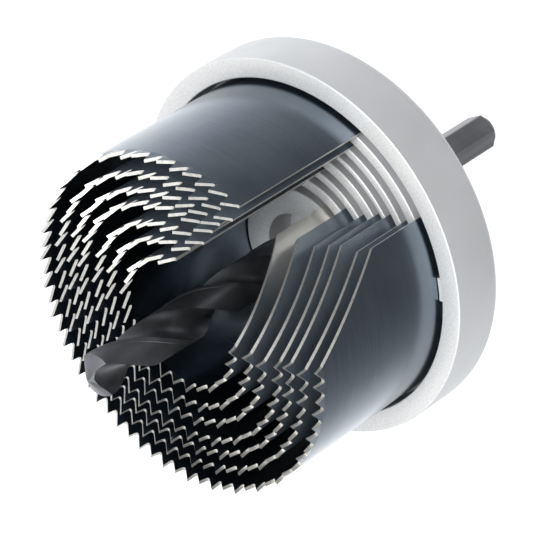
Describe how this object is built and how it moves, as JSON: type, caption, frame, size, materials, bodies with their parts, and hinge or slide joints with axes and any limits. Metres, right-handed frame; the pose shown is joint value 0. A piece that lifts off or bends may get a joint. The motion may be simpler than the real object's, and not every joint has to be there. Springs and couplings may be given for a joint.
{
  "type": "hole saw",
  "caption": "Multi-ring hole saw: nested toothed ring blades seated in a cast head, with a pilot drill and a hexagonal shank.",
  "frame": {"origin": "centre of the end face of the hexagonal shank, on the tool's axis", "axes": "+Z along the tool's axis from the shank's end to the drill's tip; -Y towards the side with the blades' chip slots; +X completes a right-handed set"},
  "size_m": [0.072, 0.072, 0.106],
  "materials": {
    "cast_head": "satin die-cast",
    "blade_steel": "blued, brushed round the ring",
    "drill_steel": "black oxide",
    "screw_steel": "black oxide"
  },
  "bodies": {
    "root": {"holder_head": "cast_head", "saw_blade_25": "blade_steel", "saw_blade_32": "blade_steel", "saw_blade_38": "blade_steel", "saw_blade_45": "blade_steel", "saw_blade_50": "blade_steel", "saw_blade_56": "blade_steel", "saw_blade_63": "blade_steel", "pilot_drill": "drill_steel", "clamp_screw": "screw_steel"}
  },
  "joints": []
}
